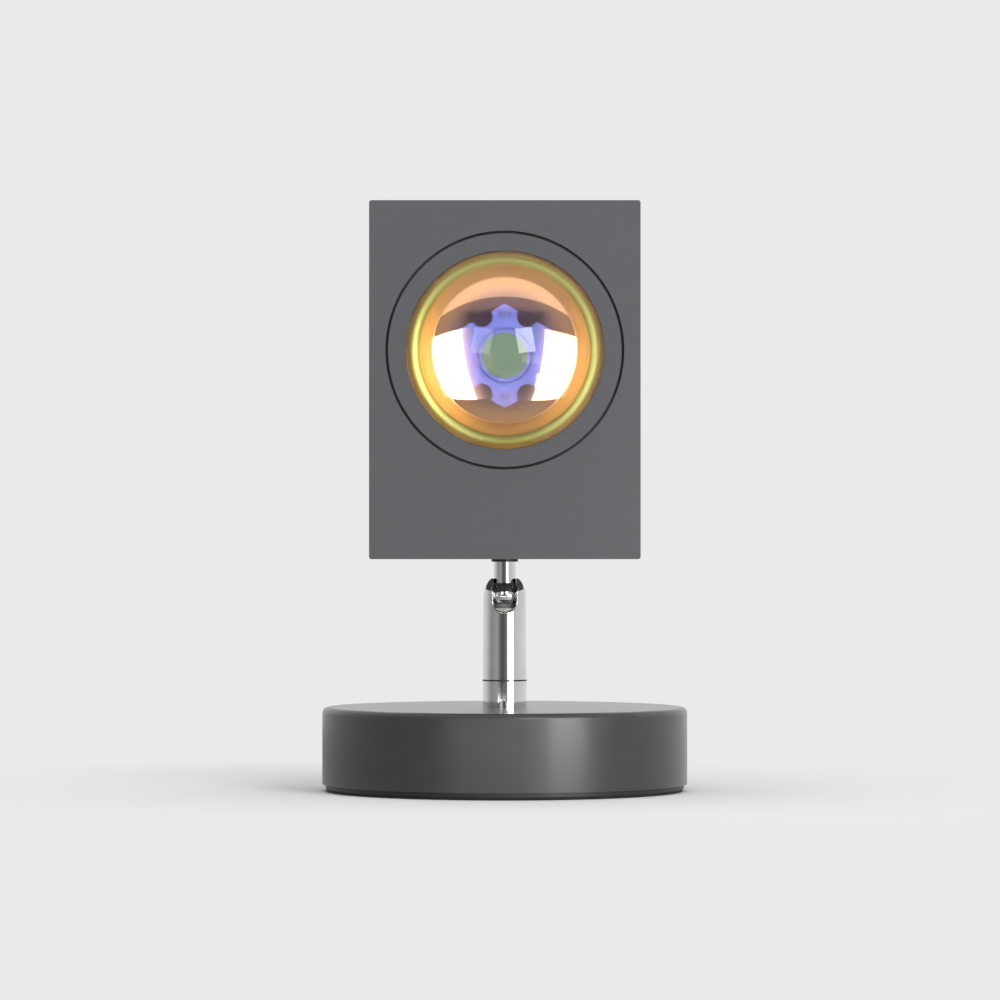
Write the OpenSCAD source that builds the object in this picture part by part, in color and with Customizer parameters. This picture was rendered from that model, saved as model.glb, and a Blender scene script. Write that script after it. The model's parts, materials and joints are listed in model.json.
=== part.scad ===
// Sunset projection lamp: a box head with a coated dome lens, on a ball joint and a weighted round base.
// The origin is the middle of the base's underside, +Z is up and the lens faces -Y.

/* [Head] */
// Width of the head, side to side
head_w = 90; // [89:0.5:100]
// Height of the head
head_h = 119; // [110:1:140]
// Depth of the head, front face to rear face
head_d = 58; // [57:0.5:60]
// Wall of the head casing
head_wall = 1.6; // [1.2:0.1:1.8]
// Rounding of the head's long edges
head_edge_r = 0.8; // [0.5:0.1:1.2]
// Thickness of the floor pad round the stem
floor_pad_t = 3; // [2.5:0.1:4]
// Width of that pad
floor_pad_d = 20; // [18:0.5:26]
// Gap between the head and the base's top
head_lift = 50; // [49:0.5:60]

/* [Rear cover] */
// Thickness of the rear cover
rear_cover_t = 2; // [1.8:0.1:3]
// Screw centres from the head's sides
rear_screw_inset = 6; // [5.5:0.1:7]
// Side of the square screw posts in the corners
rear_post_w = 9; // [8:0.5:10]
// Length of those posts
rear_post_len = 16; // [12:1:24]
// Diameter of the rear screws
rear_screw_d = 3; // [2.5:0.5:3.5]
// Depth of the lip that centres the cover
rear_lip_t = 3; // [2:0.5:4]
// Length of one vent slot
vent_len = 44; // [30:1:50]
// Width of one vent slot
vent_w = 2.4; // [2:0.1:3]
// Distance from slot to slot
vent_pitch = 6; // [5:0.5:8]
// Number of vent slots
vent_count = 7; // [3:1:8]

/* [Lens] */
// Lens centre below the head's top
lens_drop = 49.7; // [48:0.1:54]
// Diameter of the dome that shows
lens_d = 65.5; // [62:0.5:66.5]
// How far the dome stands out of the front face
dome_h = 12.5; // [9:0.5:13]
// Width of the lens's seating flange
lens_flange_w = 2; // [1.5:0.1:2.2]
// Thickness of that flange
lens_flange_t = 2; // [1.5:0.1:2.5]
// Outer diameter of the front recess that holds the bezel
bezel_recess_d = 79.2; // [78.5:0.1:81]
// Width of the dark seam round the bezel
bezel_seam = 0.9; // [0.5:0.1:1.2]
// Thickness of the bezel ring
bezel_t = 3; // [2.5:0.1:4]
// Thickness of the lip that holds the lens
bezel_lip_t = 1.4; // [1:0.1:1.8]
// Depth of the spigot behind the bezel
bezel_spigot_t = 2; // [1.5:0.1:3]
// Thickness of the gasket behind the lens
gasket_t = 0.8; // [0.5:0.1:1.2]

/* [Light engine] */
// Thickness of the casing's inner ring behind the bezel
ledge_t = 4.5; // [4:0.1:6]
// Outer diameter of that ring
ledge_d = 84; // [83:0.5:85]
// Bore of that ring
ledge_bore_d = 74; // [73.5:0.1:74.5]
// Thickness of the barrel's front flange
barrel_flange_t = 2; // [1.5:0.1:3]
// Wall of the barrel's cone
barrel_wall = 1.5; // [1.2:0.1:2]
// Depth of the barrel's cone behind its front flange
barrel_cone_t = 21.5; // [18:0.5:24]
// Diameter of the barrel's rear opening
barrel_throat_d = 34; // [33:0.5:36]
// Diameter of the barrel's rear flange
barrel_rear_d = 50; // [49:0.5:52]
// Thickness of the barrel's rear flange
barrel_rear_t = 3; // [2.8:0.1:4]
// Circle of the four barrel screws
barrel_screw_pcd = 79; // [78.5:0.1:79.5]
// Width of the six-sided LED board
board_w = 19; // [18:0.5:20]
// Height of the LED board
board_h = 21.5; // [20.5:0.5:22.5]
// Thickness of the LED board
board_t = 1.6; // [1:0.1:1.6]
// Radius of the notch in the middle of each side of the board
board_notch_r = 1.6; // [1.5:0.1:1.8]
// Board screw centres from its middle, sideways
board_screw_x = 4.7; // [4.5:0.1:4.9]
// Board screw centres from its middle, upwards
board_screw_z = 8.1; // [7.9:0.1:8.3]
// Diameter of the round LED
emitter_d = 10; // [9:0.5:11]
// Thickness of the round LED
emitter_t = 0.8; // [0.6:0.1:1.2]
// Thickness of the thermal pad
pad_t = 0.5; // [0.3:0.1:0.8]
// Width of the heat sink
sink_w = 52; // [51:0.5:60]
// Height of the heat sink
sink_h = 56; // [52:1:60]
// Thickness of the heat sink's plate
sink_plate_t = 3; // [2.5:0.1:4]
// Depth of the heat sink's fins
sink_fin_t = 16; // [10:0.5:16.5]
// Thickness of one fin
sink_fin_w = 1.5; // [1:0.1:1.6]
// Distance from fin to fin
sink_fin_pitch = 6; // [6:0.1:6.2]
// Number of fins
sink_fin_count = 9; // [7:2:9]
// Circle of the four heat sink screws
sink_screw_pcd = 42.4; // [42:0.1:43]
// Diameter of the barrel, board and heat sink screws' thread
small_screw_d = 2.5; // [2:0.1:2.5]

/* [Stem and ball] */
// Diameter of the chrome stem
stem_d = 7.5; // [7:0.1:7.7]
// Diameter of the stem's threaded end
stem_thread_d = 6.4; // [6:0.1:6.6]
// Bore for the lead through the stem
stem_bore_d = 4; // [3.6:0.1:4.2]
// Diameter of the ball
ball_d = 11; // [10.6:0.1:11.1]
// Ball centre below the head's underside
pivot_drop = 12.2; // [11.5:0.1:14]
// Thickness of the dark washer under the head
stem_washer_t = 1; // [0.6:0.1:1.5]
// Diameter of that washer
stem_washer_d = 9; // [8.5:0.1:11]
// Thickness of the washer on the head's floor
spin_washer_t = 1; // [0.8:0.1:1.5]
// Thickness of the spring washer above it
wave_washer_t = 0.6; // [0.5:0.1:1]
// Diameter of the washer on the head's floor
spin_washer_d = 14; // [12:0.5:16]
// Diameter of the spring washer above it
wave_washer_d = 12; // [9:0.5:14]
// Height of the nut on the stem
stem_nut_h = 4; // [3:0.1:5]
// Width of that nut across its flats
stem_nut_af = 10; // [9.5:0.5:12]
// Length of thread above the nut
stem_thread_over = 2.4; // [1:0.1:4]

/* [Post] */
// Diameter of the post at the collar
post_d = 15; // [14.8:0.1:16]
// Diameter of the post at the ball
post_top_d = 14.5; // [14.2:0.1:14.8]
// Width of the front notch
notch_w = 8; // [7.9:0.1:8.4]
// Bottom of the notch below the ball's centre
notch_depth = 6; // [5.2:0.1:6.4]
// Width of the post's mouth, round the stem
mouth_d = 9.4; // [9.4:0.1:9.8]
// Height of the cup under the ball
seat_h = 5.6; // [5:0.1:6]
// Top of the cup below the ball's centre
seat_drop = 4.4; // [4.3:0.1:4.8]
// Height of the spring under the cup
spring_h = 7; // [6:0.5:8]
// Wire of the spring
spring_wire_d = 0.9; // [0.7:0.1:1]
// Turns of the spring
spring_turns = 4.5; // [3.5:0.5:5]
// Diameter of the shank that turns in the collar
shank_d = 8; // [7.6:0.1:8.4]
// How far the plug sits inside the post's lower end
plug_recess = 0.8; // [0.5:0.1:1.5]

/* [Swivel] */
// Height of the collar above the base
collar_h = 8.8; // [7:0.1:12]
// Diameter of the collar's tail through the base
tail_d = 12; // [11:0.1:12.4]
// Thickness of the dark washer in the seam
seam_washer_t = 0.5; // [0.4:0.1:1]
// Height of the collar's nut
collar_nut_h = 3.4; // [3:0.1:4]
// Width of that nut across its flats
collar_nut_af = 17; // [16:0.5:20]
// Diameter of the washer over the collar's nut
collar_washer_d = 22; // [20:0.5:28]
// Thickness of that washer
collar_washer_t = 0.8; // [0.6:0.1:1]
// Collar's tail below its nut
tail_over = 0.9; // [0.6:0.1:1.2]
// Thickness of the spring washer at the tail's end
spring_washer_t = 0.8; // [0.6:0.1:1]
// Diameter of that spring washer
spring_washer_d = 12; // [11:0.5:14]
// Height of the nut on the shank
stud_nut_h = 2.9; // [2.5:0.1:3]
// Width of that nut across its flats
stud_nut_af = 13; // [12:0.5:16]
// Shank below its nut
shank_over = 0.3; // [0.2:0.1:0.4]

/* [Base] */
// Diameter of the base
base_d = 123; // [118:1:140]
// Height of the base, with its foot
base_h = 28.2; // [27.6:0.1:34]
// Side wall of the base casing
base_wall = 2; // [1.5:0.1:2.4]
// Top wall of the base casing
base_top_t = 2.5; // [2:0.1:3]
// Rounding of the base's upper edge
base_edge_r = 1.8; // [1:0.1:2]
// Thickness of the soft foot ring
foot_h = 1; // [0.6:0.1:1.4]
// Width of the soft foot ring
foot_w = 8; // [5:0.5:10]
// Height of the cover's black rim under the casing
rim_h = 1.4; // [1:0.1:1.8]
// How far that rim stands back from the casing
rim_inset = 1.1; // [0.5:0.1:1.8]
// Thickness of the bottom cover
cover_t = 2; // [2:0.1:2.4]
// Thickness of the ballast
ballast_t = 8; // [7.5:0.1:8.5]
// Gap between the ballast and the casing's wall
ballast_gap = 2; // [1:0.1:3]
// Circle of the ballast's screw bosses
boss_pcd = 84; // [80:1:92]
// Diameter of those bosses
boss_d = 9; // [8:0.5:11]
// Diameter of the cover's screws
cover_screw_d = 4; // [3:0.5:4]
// Length of the cover's screws
cover_screw_len = 10; // [8:0.5:12]

/* [Cord inlet and driver] */
// Height of the cord inlet
inlet_z = 9; // [8.5:0.1:10]
// Bore of the rubber bush
bush_bore_d = 4.4; // [3.5:0.1:5]
// Neck of the rubber bush
bush_neck_d = 6.4; // [6:0.1:7]
// Flange of the rubber bush
bush_flange_d = 9.8; // [9:0.1:10.4]
// Thickness of the bush's outer flange
bush_flange_t = 1.7; // [1.2:0.1:2]
// Depth of the casing's block that holds the bush
bush_block_t = 8; // [6:0.5:9]
// Width of that block
bush_block_w = 14; // [13:0.5:18]
// Width of the driver board
driver_w = 40; // [38:1:46]
// Depth of the driver board
driver_len = 26; // [25:0.5:27]
// Thickness of the driver board
driver_t = 1.6; // [1.2:0.1:1.8]
// Gap between the driver board and the casing's wall
driver_back = 13.5; // [12.5:0.5:15]
// Height of the coil and the capacitor on the board
driver_part_h = 7.4; // [5:0.2:8]
// Diameter of the coil's flanges
coil_d = 11; // [9:0.5:12]
// Diameter of the capacitor
capacitor_d = 8; // [6:0.5:9]
// Height of the terminal block
terminal_h = 7; // [5:0.5:8]
// Width of the terminal block
terminal_w = 10; // [8:0.5:11]
// Depth of the terminal block
terminal_len = 8; // [7:0.5:9]
// Height of the driver board's standoffs
standoff_h = 3; // [2.5:0.1:3.2]
// Distance between the two standoffs
standoff_pitch = 34; // [33:0.5:34]
// Diameter of one wire of the leads
wire_d = 1.4; // [1:0.1:1.5]

/* [Hidden] */
$fn = 96;

cut = 1;                // how far a cutting body runs past what it cuts
loose_fit = 0.1;        // radial clearance of a piece that is fastened in place
running_fit = 0.05;     // radial clearance of a piece that turns in another
ball_fit = 0.08;        // radial clearance round the ball
lead_gap = 0.3;         // from a lead's end to the next piece
lead_drop = 3;          // from the ball's centre, and from the cup's top, down to a lead's end
screw_bottom_gap = 0.6;  // from a screw's hole to the far side of what it's in
screw_tip_gap = 0.4;     // from a screw's tip to the bottom of its hole
bush_setback = 0.5;      // outer flange of the bush behind the casing's round wall
wire_sides = 8;
metal = "#6a6c71";
chrome = "#c9ccce";
black = "#1c1c1e";

// heights in the base
shell_z = foot_h + rim_h;
cover_top_z = foot_h + cover_t;
ceiling_z = base_h - base_top_t;
ballast_z = ceiling_z - ballast_t;
base_inner_r = base_d/2 - base_wall;
rim_r = base_d/2 - rim_inset;
driver_z = cover_top_z + standoff_h;
driver_top_z = driver_z + driver_t;
driver_y = base_inner_r - driver_back - driver_len;
driver_mid_y = driver_y + driver_len/2;

// the swivel, from its nut up to the post's lower end
collar_top_z = base_h + collar_h;
post_z = collar_top_z + seam_washer_t;
collar_washer_z = ballast_z - collar_washer_t;
collar_nut_z = collar_washer_z - collar_nut_h;
tail_z = collar_nut_z - tail_over;
spring_washer_z = tail_z - spring_washer_t;
stud_nut_z = spring_washer_z - stud_nut_h;
shank_z = stud_nut_z - shank_over;

// the ball joint
head_z = base_h + head_lift;
pivot_z = head_z - pivot_drop;
ball_r = ball_d/2;
socket_r = ball_r + ball_fit;
seat_top_z = pivot_z - seat_drop;
seat_z = seat_top_z - seat_h;
plug_top_z = seat_z - spring_h;
plug_z = post_z + plug_recess;
spring_r = socket_r - spring_wire_d/2 - 2*loose_fit;
shank_bore_d = stem_bore_d;

// the stem's upper end, inside the head
stem_shoulder_z = head_z - stem_washer_t;
spin_washer_z = head_z + floor_pad_t;
wave_washer_z = spin_washer_z + spin_washer_t;
stem_nut_z = wave_washer_z + wave_washer_t;
stem_top_z = stem_nut_z + stem_nut_h + stem_thread_over;

// depths behind the head's front face, along the lens axis
lens_z = head_z + head_h - lens_drop;
front_y = -head_d/2;
dome_r = (lens_d*lens_d/4 + dome_h*dome_h)/(2*dome_h);
lens_flange_r = lens_d/2 + lens_flange_w;
lens_back = bezel_lip_t + lens_flange_t;
barrel_nose = lens_back + gasket_t;
ledge_back = bezel_t + ledge_t;
cone_front = ledge_back + barrel_flange_t;
cone_back = cone_front + barrel_cone_t;
barrel_back = cone_back + barrel_rear_t;
board_front = barrel_back - pad_t - board_t;
cover_front = head_d - rear_cover_t;
barrel_in_r = lens_d/2;
board_edge_z = lens_z - board_h/2;

// a body on the lens axis, whose +Z is the way out of the lens and whose zero is the front face
module on_lens_axis() {
    translate([0, front_y, lens_z]) rotate([90, 0, 0]) children();
}

// a straight ring from one depth behind the front face to a deeper one
module deep_ring(from, to, outer_r, inner_r) {
    translate([0, 0, -to]) ring(to - from, outer_r, inner_r);
}

module ring(height, outer_r, inner_r) {
    difference() {
        cylinder(h = height, r = outer_r);
        translate([0, 0, -cut]) cylinder(h = height + 2*cut, r = inner_r);
    }
}

module hex_nut(height, flats, hole_r) {
    difference() {
        cylinder(h = height, r = flats/2/cos(30), $fn = 6);
        translate([0, 0, -cut]) cylinder(h = height + 2*cut, r = hole_r);
    }
}

// a spring washer, split on its +X side
module split_washer(thickness, outer_d, inner_r) {
    split_w = 0.6;
    difference() {
        ring(thickness, outer_d/2, inner_r);
        translate([0, -split_w/2, -cut]) cube([outer_d, split_w, thickness + 2*cut]);
    }
}

// a countersunk screw pointing along +Z, its flat head at zero
module flat_screw(d, len) {
    head_r = d*0.95;
    head_t = d/2;
    slot_w = d*0.2;
    difference() {
        union() {
            cylinder(h = head_t, r1 = head_r, r2 = d/2);
            cylinder(h = len, r = d/2);
        }
        for (turn = [0, 90]) rotate([0, 0, turn])
            translate([-head_r*0.62, -slot_w/2, -cut]) cube([head_r*1.24, slot_w, cut + head_t*0.6]);
    }
}

// the hole that takes a flat screw
module flat_screw_hole(d, len) {
    cylinder(h = d/2 + loose_fit, r1 = d*0.95 + loose_fit, r2 = d/2 + loose_fit);
    translate([0, 0, -cut]) cylinder(h = len + cut, r = d/2 + loose_fit);
    translate([0, 0, -cut]) cylinder(h = cut, r = d*0.95 + loose_fit);
}

// a pan-head screw pointing along -Z, the underside of its head at zero
module pan_screw(d, len) {
    head_t = d*0.55;
    slot_w = d*0.2;
    difference() {
        union() {
            cylinder(h = head_t, r = d*0.85);
            translate([0, 0, -len]) cylinder(h = len, r = d/2);
        }
        for (turn = [0, 90]) rotate([0, 0, turn])
            translate([-d*0.55, -slot_w/2, head_t*0.5]) cube([d*1.1, slot_w, head_t]);
    }
}

module round_rect(w, h, r) {
    square([w - 2*r, h], center = true);
    square([w, h - 2*r], center = true);
    for (sx = [-1, 1], sy = [-1, 1]) translate([sx*(w/2 - r), sy*(h/2 - r)]) circle(r);
}

// a block with the head's outline, from one depth behind the front face to a deeper one
module head_block(from, to, inset = 0, edge_r = head_edge_r) {
    translate([0, front_y + to, head_z + head_h/2]) rotate([90, 0, 0])
        linear_extrude(to - from) round_rect(head_w - 2*inset, head_h - 2*inset, edge_r);
}

module at_rear_screws() {
    for (sx = [-1, 1], sz = [0, 1])
        translate([sx*(head_w/2 - rear_screw_inset), head_d/2,
                head_z + rear_screw_inset + sz*(head_h - 2*rear_screw_inset)])
            rotate([90, 0, 0]) children();
}

module at_barrel_screws() {
    for (i = [0:3]) rotate([0, 0, 45 + 90*i]) translate([barrel_screw_pcd/2, 0, -cone_front])
        rotate([180, 0, 0]) children();
}

module at_sink_screws() {
    for (i = [0:3]) rotate([0, 0, 45 + 90*i])
        translate([sink_screw_pcd/2, 0, -(barrel_back + sink_plate_t)]) rotate([180, 0, 0]) children();
}

module at_board_screws() {
    for (sx = [-1, 1], sz = [-1, 1])
        translate([sx*board_screw_x, sz*board_screw_z, -board_front]) children();
}

module at_cover_screws() {
    for (i = [0:2]) rotate([0, 0, 30 + 120*i]) translate([boss_pcd/2, 0, 0]) children();
}

module at_standoffs() {
    for (sx = [-1, 1]) translate([sx*standoff_pitch/2, driver_mid_y, 0]) children();
}

// one closed tube along points in a plane of constant x, each [y, z]
module wire(x, points) {
    n = len(points);
    function along(i) = points[min(i + 1, n - 1)] - points[max(i - 1, 0)];
    function side(i) = [-along(i)[1], along(i)[0]]/norm(along(i));
    function spoke(i, a) = [x + wire_d/2*cos(a),
        points[i][0] + wire_d/2*sin(a)*side(i)[0], points[i][1] + wire_d/2*sin(a)*side(i)[1]];
    rings = [for (i = [0:n - 1], k = [0:wire_sides - 1]) spoke(i, k*360/wire_sides)];
    walls = [for (i = [0:n - 2], k = [0:wire_sides - 1]) let (a = i*wire_sides + k,
            b = i*wire_sides + (k + 1)%wire_sides) each [[a, b, b + wire_sides],
                [a, b + wire_sides, a + wire_sides]]];
    first = [for (k = [1:wire_sides - 2]) [0, k + 1, k]];
    last = [for (k = [1:wire_sides - 2]) let (m = (n - 1)*wire_sides) [m, m + k, m + k + 1]];
    polyhedron(rings, concat(walls, first, last), convexity = 4);
}

// the two wires of a lead side by side
module lead(points) {
    wire_gap = 0.1;
    for (sx = [-1, 1]) wire(sx*(wire_d + wire_gap)/2, points);
}

// ---- base ----

module base_shell() {
    roof_t = 2;
    block_top = inlet_z + bush_flange_d/2 + roof_t;
    color(metal) difference() {
        union() {
            difference() {
                rotate_extrude() {
                    translate([0, shell_z]) square([base_d/2, base_h - shell_z - base_edge_r]);
                    translate([0, shell_z]) square([base_d/2 - base_edge_r, base_h - shell_z]);
                    translate([base_d/2 - base_edge_r, base_h - base_edge_r]) circle(base_edge_r);
                }
                translate([0, 0, shell_z - cut])
                    cylinder(h = ceiling_z - shell_z + cut, r = base_inner_r);
            }
            intersection() {
                translate([-bush_block_w/2, base_d/2 - bush_block_t, cover_top_z + loose_fit])
                    cube([bush_block_w, bush_block_t, block_top - cover_top_z]);
                cylinder(h = base_h, r = base_d/2 - base_wall/2);
            }
        }
        translate([0, 0, ceiling_z - cut]) cylinder(h = base_top_t + 2*cut, r = tail_d/2 + loose_fit);
        translate([0, base_d/2 + cut, inlet_z]) rotate([90, 0, 0]) {
            cylinder(h = bush_block_t + 2*cut, r = bush_neck_d/2 + loose_fit/2);
            cylinder(h = cut + bush_flange_t + bush_setback, r = bush_flange_d/2 + loose_fit);
        }
    }
}

module ballast_disc() {
    color("#3a3a3c") difference() {
        union() {
            translate([0, 0, ballast_z]) cylinder(h = ballast_t, r = base_inner_r - ballast_gap);
            at_cover_screws() translate([0, 0, cover_top_z])
                cylinder(h = ballast_z - cover_top_z + cut, r = boss_d/2);
        }
        translate([0, 0, ballast_z - cut]) cylinder(h = ballast_t + 2*cut, r = tail_d/2 + 5*loose_fit);
        at_cover_screws() translate([0, 0, cover_top_z - cut])
            cylinder(h = cover_screw_len + cut, r = cover_screw_d/2 + loose_fit/2);
    }
}

module bottom_cover() {
    hole_floor = 1;
    color(black) difference() {
        union() {
            translate([0, 0, foot_h]) cylinder(h = rim_h, r = rim_r);
            translate([0, 0, foot_h]) cylinder(h = cover_t, r = base_inner_r - 2*loose_fit);
            at_standoffs() translate([0, 0, foot_h]) cylinder(h = driver_z - foot_h, r = small_screw_d);
        }
        at_cover_screws() translate([0, 0, foot_h]) flat_screw_hole(cover_screw_d, cover_t + cut);
        at_standoffs() translate([0, 0, foot_h + hole_floor])
            cylinder(h = driver_z, r = small_screw_d/2 + loose_fit/2);
    }
}

module foot_ring() {
    edge_back = 0.4;
    color("#111112") ring(foot_h, rim_r - edge_back, rim_r - edge_back - foot_w);
}

module cover_screws() {
    color(chrome) at_cover_screws() translate([0, 0, foot_h]) flat_screw(cover_screw_d, cover_screw_len);
}

module cable_bush() {
    inner_flange_t = 1.5;
    outer_y = base_d/2 - bush_setback;
    neck_len = bush_block_t - bush_setback;
    color(black) translate([0, outer_y, inlet_z]) rotate([90, 0, 0]) difference() {
        union() {
            cylinder(h = bush_flange_t, r = bush_flange_d/2);
            cylinder(h = neck_len + inner_flange_t, r = bush_neck_d/2);
            translate([0, 0, neck_len])
                cylinder(h = inner_flange_t, r = (bush_neck_d + bush_flange_d)/4);
        }
        translate([0, 0, -cut]) cylinder(h = bush_block_t + inner_flange_t + 2*cut, r = bush_bore_d/2);
    }
}

module collar() {
    color(chrome) difference() {
        union() {
            translate([0, 0, base_h]) cylinder(h = collar_h, r = post_d/2);
            translate([0, 0, tail_z]) cylinder(h = base_h - tail_z + cut, r = tail_d/2);
        }
        translate([0, 0, tail_z - cut])
            cylinder(h = collar_top_z - tail_z + 2*cut, r = shank_d/2 + running_fit);
    }
}

module collar_washer() {
    color("#9a9c9e") translate([0, 0, collar_washer_z])
        ring(collar_washer_t, collar_washer_d/2, tail_d/2 + loose_fit);
}

module collar_nut() {
    color("#b08d3e") translate([0, 0, collar_nut_z])
        hex_nut(collar_nut_h, collar_nut_af, tail_d/2 + loose_fit/2);
}

module driver_board() {
    color("#1f5a3a") difference() {
        translate([-driver_w/2, driver_y, driver_z]) cube([driver_w, driver_len, driver_t]);
        at_standoffs() translate([0, 0, driver_z - cut])
            cylinder(h = driver_t + 2*cut, r = small_screw_d/2 + loose_fit);
    }
}

// the coil to the left and the capacitor to the right, standing on the board
module driver_parts() {
    flange_t = 1;
    back_y = driver_y + driver_len - coil_d*0.64;
    color("#8a5a2c") translate([-driver_w/4, back_y, driver_top_z]) {
        cylinder(h = flange_t, r = coil_d/2);
        cylinder(h = driver_part_h, r = coil_d*0.4);
        translate([0, 0, driver_part_h - flange_t]) cylinder(h = flange_t, r = coil_d/2);
    }
    color("#26324a") translate([driver_w/4, back_y, driver_top_z])
        cylinder(h = driver_part_h, r = capacitor_d/2);
}

module terminal_block() {
    way_w = terminal_w/2;
    color("#2c6b3d") translate([-way_w, driver_y, driver_top_z]) difference() {
        cube([terminal_w, terminal_len, terminal_h]);
        for (i = [0, 1]) translate([way_w*(i + 0.5), terminal_len/2, terminal_h/2])
            cylinder(h = terminal_h, r = way_w*0.34);
    }
}

module driver_screws() {
    grip = standoff_h*0.7;
    color(chrome) at_standoffs() translate([0, 0, driver_top_z]) pan_screw(small_screw_d, driver_t + grip);
}

// from the terminal block down to the cover, and up into the foot of the shank
module base_lead() {
    start = [driver_y - lead_gap, driver_top_z + terminal_h*0.3];
    low = cover_top_z + wire_d;
    top = shank_z - lead_gap;
    rise = top - low;
    color("#b5322c") lead([start, [driver_y*0.8, start[1] - wire_d/4], [driver_y*0.5, low + rise*0.25],
        [driver_y*0.25, low], [wire_d*1.4, low], [wire_d*0.65, low + rise*0.1],
        [wire_d*0.15, low + rise*0.3], [0, low + rise*0.55], [0, top]]);
}

// ---- post ----

module ball_socket() {
    notch_z = pivot_z - notch_depth + notch_w/2;
    shoulder_r = post_top_d/2;
    color(chrome) difference() {
        rotate_extrude() difference() {
            union() {
                polygon([[0, post_z], [post_d/2, post_z], [shoulder_r, pivot_z], [0, pivot_z]]);
                intersection() {
                    translate([0, pivot_z]) circle(shoulder_r);
                    translate([0, pivot_z]) square(shoulder_r);
                }
            }
            translate([0, post_z - cut]) square([socket_r, pivot_z - post_z + cut]);
            translate([0, pivot_z]) intersection() {
                circle(socket_r);
                square(socket_r);
            }
            translate([0, pivot_z]) square([mouth_d/2, post_d]);
        }
        translate([0, 0, notch_z]) rotate([90, 0, 0]) linear_extrude(post_d) {
            circle(notch_w/2);
            translate([-notch_w/2, 0]) square([notch_w, post_d]);
        }
    }
}

module swivel_stud() {
    color("#a8894a") difference() {
        union() {
            translate([0, 0, plug_z]) cylinder(h = plug_top_z - plug_z, r = socket_r - running_fit);
            translate([0, 0, shank_z]) cylinder(h = plug_z - shank_z + cut, r = shank_d/2);
        }
        translate([0, 0, shank_z - cut]) cylinder(h = plug_top_z - shank_z + 2*cut, r = shank_bore_d/2);
    }
}

module swivel_washer() {
    color(black) translate([0, 0, collar_top_z]) ring(seam_washer_t, post_d/2, shank_d/2 + loose_fit);
}

module spring_washer() {
    color("#9a9c9e") translate([0, 0, spring_washer_z])
        split_washer(spring_washer_t, spring_washer_d, shank_d/2 + loose_fit);
}

module stud_nut() {
    color("#b08d3e") translate([0, 0, stud_nut_z])
        hex_nut(stud_nut_h, stud_nut_af, shank_d/2 + running_fit);
}

module ball_seat() {
    color("#e8e6df") difference() {
        translate([0, 0, seat_z]) cylinder(h = seat_h, r = socket_r - ball_fit);
        translate([0, 0, pivot_z]) sphere(r = ball_r + running_fit);
        translate([0, 0, seat_z - cut]) cylinder(h = seat_h + 2*cut, r = stem_bore_d/2 + 4*loose_fit);
    }
}

// one open coil spring: its rings stand on the helix, and its ends are closed
module joint_spring() {
    steps = 12;
    sides = 6;
    n = spring_turns*steps;
    low = plug_top_z + spring_wire_d/2 + running_fit;
    high = seat_z - spring_wire_d/2 - running_fit;
    function coil_point(i, a) = let (turn = i*360/steps, r = spring_r + spring_wire_d/2*cos(a))
        [r*cos(turn), r*sin(turn), low + (high - low)*i/n + spring_wire_d/2*sin(a)];
    points = [for (i = [0:n], k = [0:sides - 1]) coil_point(i, k*360/sides)];
    walls = [for (i = [0:n - 1], k = [0:sides - 1]) let (a = i*sides + k, b = i*sides + (k + 1)%sides)
        each [[a, b + sides, b], [a, a + sides, b + sides]]];
    first = [for (k = [1:sides - 2]) [0, k, k + 1]];
    last = [for (k = [1:sides - 2]) let (m = n*sides) [m, m + k + 1, m + k]];
    color("#8f9296") polyhedron(points, concat(walls, first, last), convexity = 8);
}

module post_lead() {
    steps = 5;
    top = seat_top_z - lead_drop;
    color("#b5322c") lead([for (s = [0:steps]) [0, shank_z + s/steps*(top - shank_z)]]);
}

// ---- stem ----

module ball_stem() {
    flare = 1.2;
    color(chrome) difference() {
        union() {
            translate([0, 0, pivot_z]) sphere(r = ball_r);
            translate([0, 0, pivot_z]) cylinder(h = stem_shoulder_z - pivot_z, r = stem_d/2);
            translate([0, 0, pivot_z]) cylinder(h = stem_top_z - pivot_z, r = stem_thread_d/2);
        }
        translate([0, 0, pivot_z - ball_d])
            cylinder(h = stem_top_z - pivot_z + 2*ball_d, r = stem_bore_d/2);
        translate([0, 0, pivot_z - ball_r - cut])
            cylinder(h = 2*flare + cut, r1 = stem_bore_d/2 + flare + cut/2, r2 = stem_bore_d/2);
    }
}

module stem_washer() {
    color(black) translate([0, 0, stem_shoulder_z])
        ring(stem_washer_t, stem_washer_d/2, stem_thread_d/2 + loose_fit);
}

module spin_washer() {
    color("#e8e6df") translate([0, 0, spin_washer_z])
        ring(spin_washer_t, spin_washer_d/2, stem_thread_d/2 + loose_fit);
}

module wave_washer() {
    color("#9a9c9e") translate([0, 0, wave_washer_z])
        split_washer(wave_washer_t, wave_washer_d, stem_thread_d/2 + loose_fit);
}

module stem_nut() {
    color("#9a9c9e") translate([0, 0, stem_nut_z])
        hex_nut(stem_nut_h, stem_nut_af, stem_thread_d/2 + running_fit);
}

module stem_lead() {
    steps = 4;
    low = pivot_z - lead_drop;
    color("#b5322c") lead([for (s = [0:steps]) [0, low + s/steps*(stem_top_z - low)]]);
}

// ---- head ----

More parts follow.
